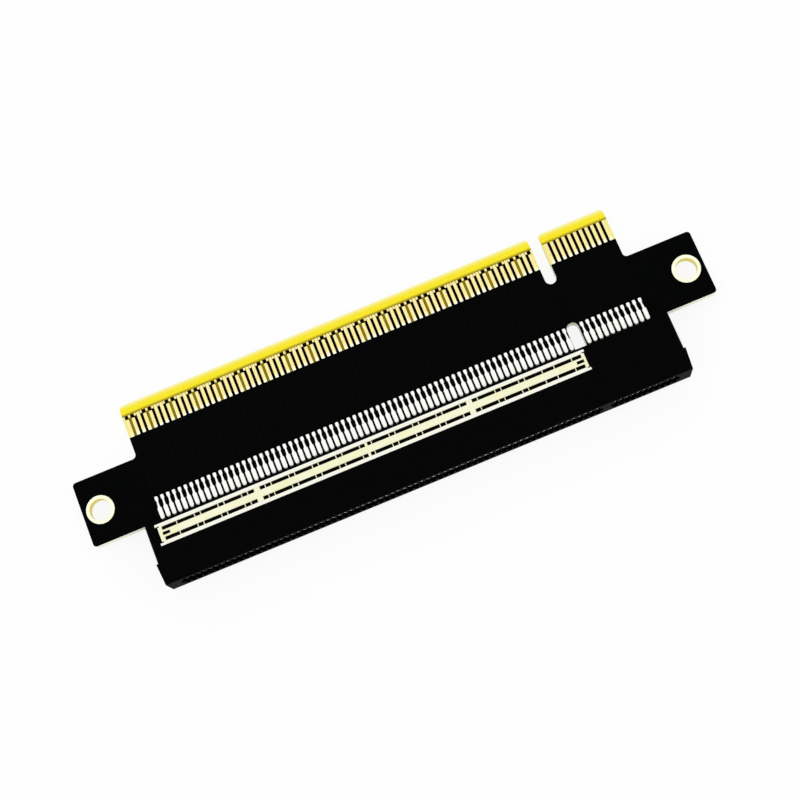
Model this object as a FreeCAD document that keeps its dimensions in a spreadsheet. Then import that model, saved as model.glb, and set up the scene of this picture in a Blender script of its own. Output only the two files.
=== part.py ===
import FreeCAD, Part
import math
import os

import Sketcher

# PCI Express x16 extension riser card with a straddle-mount slot, in millimetres.
#
# X runs along the card, Y towards its finger edge and Z up through the front of the board (side B).
# The card lies on its back. The origin is the middle of the footprint, at the lowest face.
# Every piece is drawn about the middle plane of the board and then lifted by half the foot thickness.

SIZES = [
    # contact rows
    ("pin_pitch", 1.0),
    ("key_gap", 3.0),
    ("short_row_pins", 11),
    ("long_row_pins", 71),
    # circuit board
    ("board_thickness", 1.57),
    ("edge_margin", 0.65),
    ("tongue_depth", 9.12),
    ("tongue_chamfer", 0.4),
    ("bevel_length", 1.92),
    ("bevel_rise", 0.55),
    ("key_notch_width", 1.9),
    ("key_notch_depth", 8.67),
    ("ear_length", 11.2),
    ("ear_depth", 11.05),
    ("ear_corner_radius", 0.6),
    ("shoulder_radius", 0.7),
    ("mount_hole_inset", 2.95),
    ("mount_hole_drop", 5.65),
    ("mount_hole_radius", 1.75),
    ("barrel_wall", 0.1),
    ("ring_width", 0.47),
    ("tab_overhang", 1.05),
    ("tab_insertion", 1.0),
    ("rib_notch_width", 2.0),
    ("rib_notch_depth", 5.8),
    # edge fingers
    ("plating_thickness", 0.05),
    ("finger_width", 0.7),
    ("ground_finger_length", 3.75),
    ("signal_finger_length", 3.2),
    # contacts
    ("metal_thickness", 0.2),
    ("tail_reach", 4.5),
    ("toe_length", 0.95),
    ("toe_width", 0.62),
    ("neck_length", 1.05),
    ("neck_width", 0.35),
    ("tail_width", 0.7),
    ("tail_rise", 0.5),
    ("spring_width", 0.55),
    ("spring_gap", 1.0),
    ("spring_point_depth", 2.2),
    ("spring_tip_depth", 0.6),
    ("spring_tip_flare", 0.55),
    # slot housing
    ("housing_setback", 0.45),
    ("housing_depth", 9.93),
    ("slot_depth", 8.0),
    ("slot_side_clearance", 0.115),
    ("slot_end_clearance", 0.175),
    ("end_wall", 2.125),
    ("key_rib_width", 1.35),
    ("channel_clearance", 0.075),
    ("channel_room", 0.515),
    ("housing_wall", 0.8),
    ("housing_chamfer", 0.3),
    ("foot_depth", 3.53),
    ("foot_step", 0.35),
    ("foot_end_step", 0.2),
    ("foot_draft", 0.45),
    ("foot_end_draft", 0.25),
    ("tab_clearance", 0.1),
    ("rib_clearance", 0.1),
    # ground bars
    ("bar_thickness", 0.25),
    ("bar_setback", 0.37),
    ("bar_width", 3.52),
    ("bar_rail", 0.6),
    ("bar_overhang", 1.25),
    ("bar_rail_tip", 0.2),
    ("bar_end_post", 0.7),
    ("bar_clearance", 0.05),
    ("window_width", 0.5),
    ("bridge_width", 0.9),
    ("near_bridge", 19.55),
    ("middle_bridge", 37.0),
    ("far_bridge", 55.45),
    ("end_slot_length", 1.2),
    ("end_slot_width", 0.3),
    ("end_slot_inset", 0.55),
]

# Contacts of the long row that carry ground. Those of the first lane are counted from the first pin of the
# row, which is nought. The others are counted back from its last pin, which is also nought.
FRONT_FIRST_GROUNDS = {1, 4, 6}
FRONT_LAST_GROUNDS = {2, 5, 6, 9, 10, 13, 14, 17, 18, 21, 22, 25, 26, 29, 30, 33, 35, 38, 39, 42, 43, 46, 47,
                      50, 53, 56, 57, 60, 61}
BACK_FIRST_GROUNDS = {0, 3, 6, 8}
BACK_LAST_GROUNDS = {0, 3, 4, 7, 8, 11, 12, 15, 16, 19, 20, 23, 24, 27, 28, 31, 33, 36, 37, 40, 41, 44, 45,
                     48, 51, 54, 55, 58, 59}

doc = FreeCAD.newDocument("pcie_riser_card")
sheet = doc.addObject("Spreadsheet::Sheet", "Sizes")
for row, (alias, number) in enumerate(SIZES, start=1):
    sheet.set(f"A{row}", alias)
    sheet.set(f"B{row}", str(number))
    sheet.setAlias(f"B{row}", alias)
doc.recompute()


def of(name):
    """Expression that reads one size from the sheet."""
    return f"Sizes.{name}"


def value(expression):
    """Number that an expression gives now."""
    return float(sheet.evalExpression(expression))


def negative(expression):
    return f"-({expression})"


def half(expression):
    return f"({expression}) / 2"


# Heights above the middle plane of the board.
BOARD_TOP = half(of("board_thickness"))
SLOT_HALF = f"{BOARD_TOP} + {of('slot_side_clearance')}"
TAIL_LOW = f"{BOARD_TOP} + {of('tail_rise')}"
TAIL_HIGH = f"{TAIL_LOW} + {of('metal_thickness')}"
CHANNEL_TOP = f"{TAIL_HIGH} + {of('channel_room')}"
HOUSING_TOP = f"{CHANNEL_TOP} + {of('housing_wall')}"
FOOT_TOP = f"{HOUSING_TOP} + {of('foot_step')}"

# Places along X, from the middle of the card.
SHORT_ROW = f"{of('pin_pitch')} * ({of('short_row_pins')} - 1)"
LONG_ROW = f"{of('pin_pitch')} * ({of('long_row_pins')} - 1)"
ROW_HALF = half(f"{SHORT_ROW} + {of('key_gap')} + {LONG_ROW}")
KEY_X = f"{ROW_HALF} - {SHORT_ROW} - {half(of('key_gap'))}"
FIRST_LONG_X = f"{KEY_X} - {half(of('key_gap'))}"
EDGE_HALF = f"{ROW_HALF} + {of('edge_margin')}"
EAR_END = f"{EDGE_HALF} + {of('ear_length')}"
HOLE_X = f"{EAR_END} - {of('mount_hole_inset')}"
TAB_HALF = f"{EDGE_HALF} + {of('tab_overhang')}"
SLOT_END = f"{EDGE_HALF} + {of('slot_end_clearance')}"
HOUSING_END = f"{SLOT_END} + {of('end_wall')}"
FOOT_END = f"{HOUSING_END} + {of('foot_end_step')}"
BAR_RIGHT = f"{FIRST_LONG_X} + {of('bar_overhang')}"
BAR_LEFT = f"-({ROW_HALF}) - {of('bar_overhang')}"

# Places along Y, from the middle of the footprint.
TIP = half(f"{of('tongue_depth')} + {of('ear_depth')} + {of('housing_setback')} + {of('housing_depth')}")
SHOULDER = f"{TIP} - {of('tongue_depth')}"
EAR_LOW = f"{SHOULDER} - {of('ear_depth')}"
HOUSING_REAR = f"{EAR_LOW} - {of('housing_setback')}"
TAB_END = f"{HOUSING_REAR} - {of('tab_insertion')}"
MATING_FACE = f"{HOUSING_REAR} - {of('housing_depth')}"
FOOT_REAR = f"{MATING_FACE} + {of('foot_depth')}"
BEVEL_START = f"{TIP} - {of('bevel_length')}"
FINGER_LOW = f"{BEVEL_START} - {of('ground_finger_length')}"
HOLE_Y = f"{SHOULDER} - {of('mount_hole_drop')}"
BAR_REAR = f"{HOUSING_REAR} - {of('bar_setback')}"
BAR_FRONT = f"{BAR_REAR} - {of('bar_width')}"

LIFT = FOOT_TOP


def new_body(label):
    """Empty body, lifted so that the lowest face of the card is at zero."""
    body = doc.addObject("PartDesign::Body", label)
    body.Label = label
    body.setExpression("Placement.Base.z", LIFT)
    return body


def new_sketch(body, name, role, offset=None):
    """Sketch on one of the body's origin planes, moved along the plane's normal by offset."""
    sketch = body.newObject("Sketcher::SketchObject", name)
    plane = next(item for item in body.Origin.OriginFeatures if item.Role == role)
    sketch.AttachmentSupport = (plane, [""])
    sketch.MapMode = "FlatFace"
    if offset:
        sketch.setExpression("AttachmentOffset.Base.z", offset)
    return sketch


def tie(sketch, kind, line, end, expression):
    """Hold one end of a line at a distance from the sketch's origin, bound to the sheet."""
    place = sketch.addConstraint(Sketcher.Constraint(kind, -1, 1, line, end, value(expression)))
    sketch.setExpression(f"Constraints[{place}]", expression)


def polygon(sketch, corners):
    """Closed outline through corners, each a pair of expressions."""
    points = [FreeCAD.Vector(value(across), value(along), 0) for across, along in corners]
    first = sketch.GeometryCount
    count = len(corners)
    for step in range(count):
        sketch.addGeometry(Part.LineSegment(points[step], points[(step + 1) % count]))
    for step, (across, along) in enumerate(corners):
        last = first + (step - 1) % count
        sketch.addConstraint(Sketcher.Constraint("Coincident", last, 2, first + step, 1))
        tie(sketch, "DistanceX", first + step, 1, across)
        tie(sketch, "DistanceY", first + step, 1, along)


def rectangle(sketch, left, right, low, high):
    polygon(sketch, [(left, low), (right, low), (right, high), (left, high)])


def circle(sketch, across, along, radius):
    """Circle with its centre and radius bound to the sheet."""
    centre = FreeCAD.Vector(value(across), value(along), 0)
    ring = sketch.addGeometry(Part.Circle(centre, FreeCAD.Vector(0, 0, 1), value(radius)))
    tie(sketch, "DistanceX", ring, 3, across)
    tie(sketch, "DistanceY", ring, 3, along)
    place = sketch.addConstraint(Sketcher.Constraint("Radius", ring, value(radius)))
    sketch.setExpression(f"Constraints[{place}]", radius)


def pad(body, sketch, name, length, midplane=False):
    feature = body.newObject("PartDesign::Pad", name)
    feature.Profile = sketch
    feature.Midplane = midplane
    feature.setExpression("Length", length)
    return feature


def pocket(body, sketch, name, length=None, midplane=False, backwards=False):
    """Cut a sketch through everything, or to a length."""
    feature = body.newObject("PartDesign::Pocket", name)
    feature.Profile = sketch
    feature.Midplane = midplane
    feature.Reversed = backwards
    if length:
        feature.setExpression("Length", length)
    else:
        feature.Type = "ThroughAll"
    return feature


def edges_along(feature, axis, places):
    """Names of the edges that run mainly along an axis and touch one of the given places.

    axis is 0, 1 or 2 for X, Y or Z. A place is a pair of expressions for the two other coordinates.
    """
    others = [step for step in range(3) if step != axis]
    targets = [(value(first), value(second)) for first, second in places]
    names = []
    for number, edge in enumerate(feature.Shape.Edges, start=1):
        ends = [edge.Vertexes[0].Point, edge.Vertexes[-1].Point]
        run = [abs(ends[1][step] - ends[0][step]) for step in range(3)]
        if run[axis] <= max(run[step] for step in others):
            continue
        corners = [(end[others[0]], end[others[1]]) for end in ends]
        if any(abs(a - c) < 1e-4 and abs(b - d) < 1e-4 for a, b in corners for c, d in targets):
            names.append(f"Edge{number}")
    return names


def ease_edges(body, base, kind, name, axis, places, size):
    """Fillet or Chamfer on the edges along an axis that touch the given places."""
    doc.recompute()
    feature = body.newObject(f"PartDesign::{kind}", name)
    feature.Base = (base, edges_along(base, axis, places))
    feature.setExpression("Radius" if kind == "Fillet" else "Size", size)
    return feature


def round_notch(sketch, middle, width, mouth, floor):
    """Parallel-sided notch from its mouth to a full-round floor."""
    side = half(width)
    opens_up = value(mouth) > value(floor)
    spring_line = f"{floor} + {side}" if opens_up else f"{floor} - {side}"
    left = f"{middle} - {side}"
    right = f"{middle} + {side}"
    corners = [(left, mouth), (left, spring_line), (right, spring_line), (right, mouth)]
    points = [FreeCAD.Vector(value(across), value(along), 0) for across, along in corners]
    sketch.addGeometry(Part.LineSegment(points[0], points[1]))
    sketch.addGeometry(Part.LineSegment(points[2], points[3]))
    sketch.addGeometry(Part.LineSegment(points[3], points[0]))
    centre = FreeCAD.Vector(value(middle), value(spring_line), 0)
    ring = Part.Circle(centre, FreeCAD.Vector(0, 0, 1), value(side))
    half_turn = math.pi
    angles = (half_turn, 2 * half_turn) if opens_up else (0, half_turn)
    sketch.addGeometry(Part.ArcOfCircle(ring, *angles))
    start, end = (1, 2) if opens_up else (2, 1)
    sketch.addConstraint(Sketcher.Constraint("Coincident", 0, 2, 3, start))
    sketch.addConstraint(Sketcher.Constraint("Coincident", 1, 1, 3, end))
    sketch.addConstraint(Sketcher.Constraint("Coincident", 1, 2, 2, 1))
    sketch.addConstraint(Sketcher.Constraint("Coincident", 2, 2, 0, 1))
    for line, end, (across, along) in zip((0, 0, 1, 1), (1, 2, 1, 2), corners):
        tie(sketch, "DistanceX", line, end, across)
        tie(sketch, "DistanceY", line, end, along)
    tie(sketch, "DistanceY", 3, 3, spring_line)


# ---------------------------------------------------------------- circuit board


def circuit_board():
    """Laminate with a bevelled finger tongue, two ears and a tab that enters the housing."""
    body = new_body("circuit_board")
    outline = new_sketch(body, "board_outline", "XY_Plane")
    right_side = [(EDGE_HALF, TIP), (EDGE_HALF, SHOULDER), (EAR_END, SHOULDER),
                  (EAR_END, EAR_LOW), (TAB_HALF, EAR_LOW), (TAB_HALF, TAB_END)]
    left_side = [(negative(across), along) for across, along in reversed(right_side)]
    polygon(outline, right_side + left_side)
    blank = pad(body, outline, "board_blank", of("board_thickness"), midplane=True)

    key_notch = new_sketch(body, "key_notch_outline", "XY_Plane")
    round_notch(key_notch, KEY_X, of("key_notch_width"), TIP, f"{TIP} - {of('key_notch_depth')}")
    pocket(body, key_notch, "key_notch", midplane=True)

    rib_notch = new_sketch(body, "rib_notch_outline", "XY_Plane")
    round_notch(rib_notch, KEY_X, of("rib_notch_width"), TAB_END, f"{TAB_END} + {of('rib_notch_depth')}")
    pocket(body, rib_notch, "rib_notch", midplane=True)

    holes = new_sketch(body, "mount_hole_outlines", "XY_Plane")
    drilled = f"{of('mount_hole_radius')} + {of('barrel_wall')}"
    circle(holes, HOLE_X, HOLE_Y, drilled)
    circle(holes, negative(HOLE_X), HOLE_Y, drilled)
    cut = pocket(body, holes, "mount_holes", midplane=True)

    ears = [(across, along) for across in (EAR_END, negative(EAR_END)) for along in (SHOULDER, EAR_LOW)]
    cut = ease_edges(body, cut, "Fillet", "ear_corners", 2, ears, of("ear_corner_radius"))
    shoulders = [(EDGE_HALF, SHOULDER), (negative(EDGE_HALF), SHOULDER)]
    cut = ease_edges(body, cut, "Fillet", "shoulder_corners", 2, shoulders, of("shoulder_radius"))
    notch_side = half(of("key_notch_width"))
    tongue = [(EDGE_HALF, TIP), (negative(EDGE_HALF), TIP),
              (f"{KEY_X} - {notch_side}", TIP), (f"{KEY_X} + {notch_side}", TIP)]
    ease_edges(body, cut, "Chamfer", "tongue_corners", 2, tongue, of("tongue_chamfer"))

    bevel = new_sketch(body, "bevel_section", "YZ_Plane")
    shoulder_high = f"{BOARD_TOP} - {of('bevel_rise')}"
    wedge = [(BEVEL_START, BOARD_TOP), (TIP, shoulder_high), (TIP, BOARD_TOP)]
    polygon(bevel, wedge)
    polygon(bevel, [(along, negative(height)) for along, height in reversed(wedge)])
    pocket(body, bevel, "finger_bevel", midplane=True)
    return body


def hole_plating(label, across):
    """Plated barrel of a mounting hole, turned about its axis. Its two rings thin towards their rims."""
    body = new_body(label)
    body.setExpression("Placement.Base.x", across)
    body.setExpression("Placement.Base.y", HOLE_Y)
    section = new_sketch(body, f"{label}_section", "XZ_Plane")
    inner = of("mount_hole_radius")
    bore = f"{inner} + {of('barrel_wall')}"
    rim = f"{bore} + {of('ring_width')}"
    top = f"{BOARD_TOP} + {of('plating_thickness')}"
    upper = [(inner, top), (rim, BOARD_TOP), (bore, BOARD_TOP)]
    lower = [(radius, negative(height)) for radius, height in reversed(upper)]
    polygon(section, upper + lower)
    turned = body.newObject("PartDesign::Revolution", f"{label}_turned")
    turned.Profile = section
    turned.ReferenceAxis = (section, ["V_Axis"])
    turned.Angle = 360
    return body


# ---------------------------------------------------------------- slot housing


def both_sides_of_rib(sketch, end, rib_half, height):
    """Two rectangles about the middle plane, to either side of a rib at the key."""
    rectangle(sketch, negative(end), f"{KEY_X} - ({rib_half})", negative(height), height)
    rectangle(sketch, f"{KEY_X} + ({rib_half})", end, negative(height), height)


def channel_row(body, label, first_x, pins):
    """Contact channels above and below the slot, repeated along one row of pins."""
    sketch = new_sketch(body, f"{label}_section", "XZ_Plane", negative(MATING_FACE))
    side = half(f"{of('spring_width')} + 2 * {of('channel_clearance')}")
    left = f"{first_x} - ({side})"
    right = f"{first_x} + {side}"
    rectangle(sketch, left, right, SLOT_HALF, CHANNEL_TOP)
    rectangle(sketch, left, right, negative(CHANNEL_TOP), negative(SLOT_HALF))
    length = f"{of('housing_depth')} - {of('tab_insertion')}"
    first = pocket(body, sketch, f"{label}_first", length)
    row = body.newObject("PartDesign::LinearPattern", f"{label}_row")
    row.Originals = [first]
    row.Direction = (sketch, ["H_Axis"])
    row.Reversed = True
    row.Mode = "Spacing"
    row.setExpression("Offset", of("pin_pitch"))
    row.setExpression("Occurrences", pins)
    body.Tip = row
    return row


def bar_outline(sketch, grow):
    """Stamped outline of a ground bar, grown by a clearance: rails that reach past the end posts."""
    tip = f"{of('bar_rail_tip')} + {grow}"
    right_side = [(f"{BAR_RIGHT} + {tip}", f"{BAR_REAR} + {grow}"),
                  (f"{BAR_RIGHT} + {tip}", f"{BAR_REAR} - {of('bar_rail')} - {grow}"),
                  (f"{BAR_RIGHT} + {grow}", f"{BAR_REAR} - {of('bar_rail')} - {grow}"),
                  (f"{BAR_RIGHT} + {grow}", f"{BAR_FRONT} + {of('bar_rail')} + {grow}"),
                  (f"{BAR_RIGHT} + {tip}", f"{BAR_FRONT} + {of('bar_rail')} + {grow}"),
                  (f"{BAR_RIGHT} + {tip}", f"{BAR_FRONT} - {grow}")]
    turn = f"{BAR_LEFT} + {BAR_RIGHT}"
    left_side = [(f"{turn} - ({across})", along) for across, along in reversed(right_side)]
    polygon(sketch, right_side + left_side)


def slot_housing():
    """Moulded housing: card slot with its key rib, contact channels, board recess and drafted foot."""
    body = new_body("slot_housing")
    block = new_sketch(body, "housing_section", "XZ_Plane", negative(HOUSING_REAR))
    rectangle(block, negative(HOUSING_END), HOUSING_END, negative(HOUSING_TOP), HOUSING_TOP)
    block_pad = pad(body, block, "housing_block", f"{of('housing_depth')} - {of('foot_depth')}")
    corners = [(across, height) for across in (HOUSING_END, negative(HOUSING_END))
               for height in (HOUSING_TOP, negative(HOUSING_TOP))]
    ease_edges(body, block_pad, "Chamfer", "housing_corners", 1, corners, of("housing_chamfer"))

    foot_rear = new_sketch(body, "foot_rear_section", "XZ_Plane", negative(FOOT_REAR))
    rectangle(foot_rear, negative(FOOT_END), FOOT_END, negative(FOOT_TOP), FOOT_TOP)
    foot_front = new_sketch(body, "foot_front_section", "XZ_Plane", negative(MATING_FACE))
    front_end = f"{FOOT_END} - {of('foot_end_draft')}"
    front_top = f"{FOOT_TOP} - {of('foot_draft')}"
    rectangle(foot_front, negative(front_end), front_end, negative(front_top), front_top)
    foot = body.newObject("PartDesign::AdditiveLoft", "foot")
    foot.Profile = foot_rear
    foot.Sections = [foot_front]
    foot.Ruled = True

    recess = new_sketch(body, "board_recess_section", "XZ_Plane", negative(HOUSING_REAR))
    rib_half = f"{half(of('rib_notch_width'))} - {of('rib_clearance')}"
    both_sides_of_rib(recess, f"{TAB_HALF} + {of('tab_clearance')}", rib_half, CHANNEL_TOP)
    pocket(body, recess, "board_recess", of("tab_insertion"), backwards=True)

    slot = new_sketch(body, "card_slot_section", "XZ_Plane", negative(MATING_FACE))
    both_sides_of_rib(slot, SLOT_END, half(of("key_rib_width")), SLOT_HALF)
    pocket(body, slot, "card_slot", of("slot_depth"))

    for label, height, backwards in (("front", HOUSING_TOP, False), ("back", negative(HOUSING_TOP), True)):
        bed = new_sketch(body, f"{label}_bar_bed_outline", "XY_Plane", height)
        bar_outline(bed, of("bar_clearance"))
        pocket(body, bed, f"{label}_bar_bed", of("bar_thickness"), backwards=backwards)

    channel_row(body, "short_channels", ROW_HALF, of("short_row_pins"))
    channel_row(body, "long_channels", FIRST_LONG_X, of("long_row_pins"))
    return body


def ground_bar(label, height):
    """Stamped strip that joins the ground contacts: two rails and a middle band round rows of windows."""
    body = new_body(label)
    body.setExpression("Placement.Base.z", f"{LIFT} + {height}")
    sketch = new_sketch(body, f"{label}_outline", "XY_Plane")
    bar_outline(sketch, "0")
    bridges = [f"{BAR_RIGHT} - {of(name)}" for name in ("far_bridge", "middle_bridge", "near_bridge")]
    starts = [f"{BAR_LEFT} + {of('bar_end_post')}"]
    starts += [f"{place} + {half(of('bridge_width'))}" for place in bridges]
    ends = [f"{place} - {half(of('bridge_width'))}" for place in bridges]
    ends += [f"{BAR_RIGHT} - {of('bar_end_post')}"]
    rear_row = f"{BAR_REAR} - {of('bar_rail')}"
    front_row = f"{BAR_FRONT} + {of('bar_rail')}"
    for left, right in zip(starts, ends):
        rectangle(sketch, left, right, f"{rear_row} - {of('window_width')}", rear_row)
        rectangle(sketch, left, right, front_row, f"{front_row} + {of('window_width')}")
    middle = half(f"{BAR_REAR} + {BAR_FRONT}")
    slot_half = half(of("end_slot_width"))
    inset = of("end_slot_inset")
    length = of("end_slot_length")
    low, high = f"{middle} - {slot_half}", f"{middle} + {slot_half}"
    rectangle(sketch, f"{BAR_LEFT} + {inset}", f"{BAR_LEFT} + {inset} + {length}", low, high)
    rectangle(sketch, f"{BAR_RIGHT} - {inset} - {length}", f"{BAR_RIGHT} - {inset}", low, high)
    pad(body, sketch, f"{label}_strip", of("bar_thickness"))
    return body


# ---------------------------------------------------------------- contacts and fingers


def contact_form():
    """One contact: a soldered toe, a neck, a raised tail through the housing and a bowed spring."""
    body = doc.addObject("PartDesign::Body", "contact_form")
    toe_end = f"{HOUSING_REAR} + {of('tail_reach')}"
    waist = f"{toe_end} - {of('toe_length')}"
    shoulder = f"{waist} - {of('neck_length')}"
    spring_point = f"{MATING_FACE} + {of('spring_point_depth')}"
    spring_tip = f"{MATING_FACE} + {of('spring_tip_depth')}"
    point_height = half(of("spring_gap"))
    line = [(toe_end, BOARD_TOP), (waist, BOARD_TOP), (shoulder, TAIL_LOW),
            (spring_point, point_height), (spring_tip, f"{point_height} + {of('spring_tip_flare')}")]
    side = new_sketch(body, "contact_side", "YZ_Plane")
    outer = [(along, f"{height} + {of('metal_thickness')}") for along, height in reversed(line)]
    polygon(side, line + outer)
    pad(body, side, "contact_strip", of("tail_width"), midplane=True)

    plan = new_sketch(body, "contact_plan", "XY_Plane")
    halves = [(of("toe_width"), toe_end), (of("neck_width"), waist), (of("tail_width"), shoulder),
              (of("spring_width"), spring_point), (of("spring_width"), spring_tip)]
    right_side = [(half(width), along) for width, along in halves]
    left_side = [(negative(across), along) for across, along in reversed(right_side)]
    polygon(plan, right_side + left_side)
    rectangle(plan, negative(of("tail_width")), of("tail_width"),
              f"{spring_tip} - {of('tail_width')}", f"{toe_end} + {of('tail_width')}")
    pocket(body, plan, "contact_waist", midplane=True)
    return body


def finger_form(name, length):
    """One gold finger lying on the front face of the board."""
    box = doc.addObject("Part::Box", name)
    box.setExpression("Length", of("finger_width"))
    box.setExpression("Width", length)
    box.setExpression("Height", of("plating_thickness"))
    box.setExpression("Placement.Base.x", negative(half(of("finger_width"))))
    box.setExpression("Placement.Base.y", FINGER_LOW)
    box.setExpression("Placement.Base.z", BOARD_TOP)
    return box


def pin_x(pin):
    """Place of a pin along X."""
    short_pins = int(value(of("short_row_pins")))
    if pin <= short_pins:
        return f"{ROW_HALF} - {of('pin_pitch')} * {pin - 1}"
    return f"{FIRST_LONG_X} - {of('pin_pitch')} * {pin - short_pins - 1}"


def copies(label, form, pins, side):
    """Group of separate copies of a form, one at each pin, on the front or turned to the back."""
    turn = FreeCAD.Rotation(FreeCAD.Vector(0, 1, 0), 0 if side == "front" else 180)
    group = doc.addObject("Part::Compound", label)
    group.Label = label
    links = []
    for pin in pins:
        link = doc.addObject("App::Link", f"{label}_{pin}")
        link.setLink(form)
        link.LinkTransform = True
        link.Placement = FreeCAD.Placement(FreeCAD.Vector(), turn)
        link.setExpression("Placement.Base.x", pin_x(pin))
        links.append(link)
    group.Links = links
    group.setExpression("Placement.Base.z", LIFT)
    return group


def rows(contact, ground_finger, signal_finger):
    """Contacts and fingers of both faces, grouped by what they carry."""
    short_pins = int(value(of("short_row_pins")))
    all_pins = short_pins + int(value(of("long_row_pins")))
    groups = []
    long_row = range(short_pins + 1, all_pins + 1)
    for side, first, last in (("front", FRONT_FIRST_GROUNDS, FRONT_LAST_GROUNDS),
                              ("back", BACK_FIRST_GROUNDS, BACK_LAST_GROUNDS)):
        grounds = [pin for pin in long_row if pin - long_row[0] in first or all_pins - pin in last]
        kinds = [("utility", range(1, short_pins + 1), ground_finger),
                 ("ground", grounds, ground_finger),
                 ("signal", [pin for pin in long_row if pin not in grounds], signal_finger)]
        for kind, pins, finger in kinds:
            groups.append(copies(f"{side}_{kind}_fingers", finger, pins, side))
            groups.append(copies(f"{side}_{kind}_contacts", contact, pins, side))
    return groups


# ---------------------------------------------------------------- assembly and files

contact = contact_form()
ground_finger = finger_form("ground_finger_form", of("ground_finger_length"))
signal_finger = finger_form("signal_finger_form", of("signal_finger_length"))
pieces = [circuit_board(),
          hole_plating("left_hole_plating", negative(HOLE_X)),
          hole_plating("right_hole_plating", HOLE_X),
          slot_housing(),
          ground_bar("front_ground_bar", f"{HOUSING_TOP} - {of('bar_thickness')}"),
          ground_bar("back_ground_bar", negative(HOUSING_TOP))]
pieces += rows(contact, ground_finger, signal_finger)
doc.recompute()

for item in doc.Objects:
    if "Invalid" in item.State or "Error" in item.State:
        raise RuntimeError(f"{item.Label} failed: {item.State}")
for piece in pieces:
    if piece.Shape.isNull() or not piece.Shape.isValid():
        raise RuntimeError(f"{piece.Label} has no valid shape")

os.makedirs("parts", exist_ok=True)
for piece in pieces:
    piece.Shape.exportStep(f"parts/{piece.Label}.step")
    box = piece.Shape.BoundBox
    print(f"{piece.Label}: {len(piece.Shape.Solids)} solids, {piece.Shape.Volume:.2f} mm3, "
          f"x {box.XMin:.2f}..{box.XMax:.2f}, y {box.YMin:.2f}..{box.YMax:.2f}, "
          f"z {box.ZMin:.2f}..{box.ZMax:.2f}")
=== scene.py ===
import math

import bmesh
import bpy
import numpy as np
from mathutils import Matrix, Vector


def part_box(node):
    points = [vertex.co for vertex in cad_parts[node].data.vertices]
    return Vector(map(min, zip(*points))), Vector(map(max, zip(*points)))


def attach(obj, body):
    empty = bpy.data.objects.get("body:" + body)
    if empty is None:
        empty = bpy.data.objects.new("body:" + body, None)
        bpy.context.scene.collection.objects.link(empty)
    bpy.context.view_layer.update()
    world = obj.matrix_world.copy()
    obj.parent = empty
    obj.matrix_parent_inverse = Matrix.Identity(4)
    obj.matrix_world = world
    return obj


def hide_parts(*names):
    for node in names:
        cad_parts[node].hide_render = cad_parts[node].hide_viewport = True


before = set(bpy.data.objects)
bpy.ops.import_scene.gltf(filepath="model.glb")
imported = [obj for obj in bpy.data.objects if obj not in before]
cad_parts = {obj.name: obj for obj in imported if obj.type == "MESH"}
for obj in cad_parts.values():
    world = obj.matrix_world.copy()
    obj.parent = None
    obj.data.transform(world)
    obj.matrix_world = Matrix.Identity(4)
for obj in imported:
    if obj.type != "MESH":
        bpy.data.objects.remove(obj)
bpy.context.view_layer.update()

# Lengths are in millimetres, in the frame of the CAD: X along the card towards its key, Y towards the
# finger edge, Z up through the front face. They turn to metres where a mesh or a pattern is made.
MM = 0.001


def box_of(node):
    """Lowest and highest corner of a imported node."""
    return np.array(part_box(node)) / MM


board_low, board_high = box_of("circuit_board")
contact_low, contact_high = box_of("front_signal_contacts")
finger_low, finger_high = box_of("front_ground_fingers")
bar_low, bar_high = box_of("front_ground_bar")
ring_low, ring_high = box_of("right_hole_plating")

# Heights of what lies on a face are measured from the middle plane of the board.
MIDDLE = (board_low[2] + board_high[2]) / 2
BOARD_HALF = (board_high[2] - board_low[2]) / 2
FACES = {"front": 1, "back": -1}

# Pins: eleven on the short side of the key, then the long row, one pitch apart.
PITCH = 1.0
SHORT_PINS = 11
LAST_PIN = 82
FIRST_PIN_X = 41.5
KEY_SKIP = 2.0
# Pins of the long row that carry ground, as the card edge's standard has them on each face.
GROUND_PINS = {
    "front": [13, 16, 18, 21, 22, 25, 26, 29, 32, 35, 36, 39, 40, 43, 44, 47, 49, 52, 53, 56, 57, 60, 61,
              64, 65, 68, 69, 72, 73, 76, 77, 80],
    "back": [12, 15, 18, 20, 23, 24, 27, 28, 31, 34, 37, 38, 41, 42, 45, 46, 49, 51, 54, 55, 58, 59, 62,
             63, 66, 67, 70, 71, 74, 75, 78, 79, 82],
}


def pin_x(pins):
    """Middle of each pin along the card: one pitch a pin, and the key's extra gap after the short row."""
    pins = np.asarray(pins, float)
    return FIRST_PIN_X - PITCH * (pins - 1) - KEY_SKIP * (pins > SHORT_PINS)


# Middles of the pins at the key: the first of the long row and the last of the short one.
LONG_ROW_START, SHORT_ROW_END = pin_x([SHORT_PINS + 1, SHORT_PINS])

# Edge fingers. The bevel cuts utility and ground fingers off, and signal fingers stop short of it.
BEVEL_CUT = 0.13
FINGER_TOP = finger_high[1] - BEVEL_CUT
FINGER_RISE = finger_high[2] - MIDDLE - BOARD_HALF
FINGER_HALF = 0.27
SIGNAL_STEP = 0.65


# ---------------------------------------------------------------- shapes as arrays


def grid_quads(rows, columns, closed):
    """Quads between the neighbours of a grid numbered row by row. A closed grid joins its last column
    to its first."""
    row = np.arange(rows - 1)[:, None] * columns
    column = np.arange(columns if closed else columns - 1)[None, :]
    beside = (column + 1) % columns
    corners = (row + column, row + beside, row + columns + beside, row + columns + column)
    return np.stack(corners, -1).reshape(-1, 4)


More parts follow.
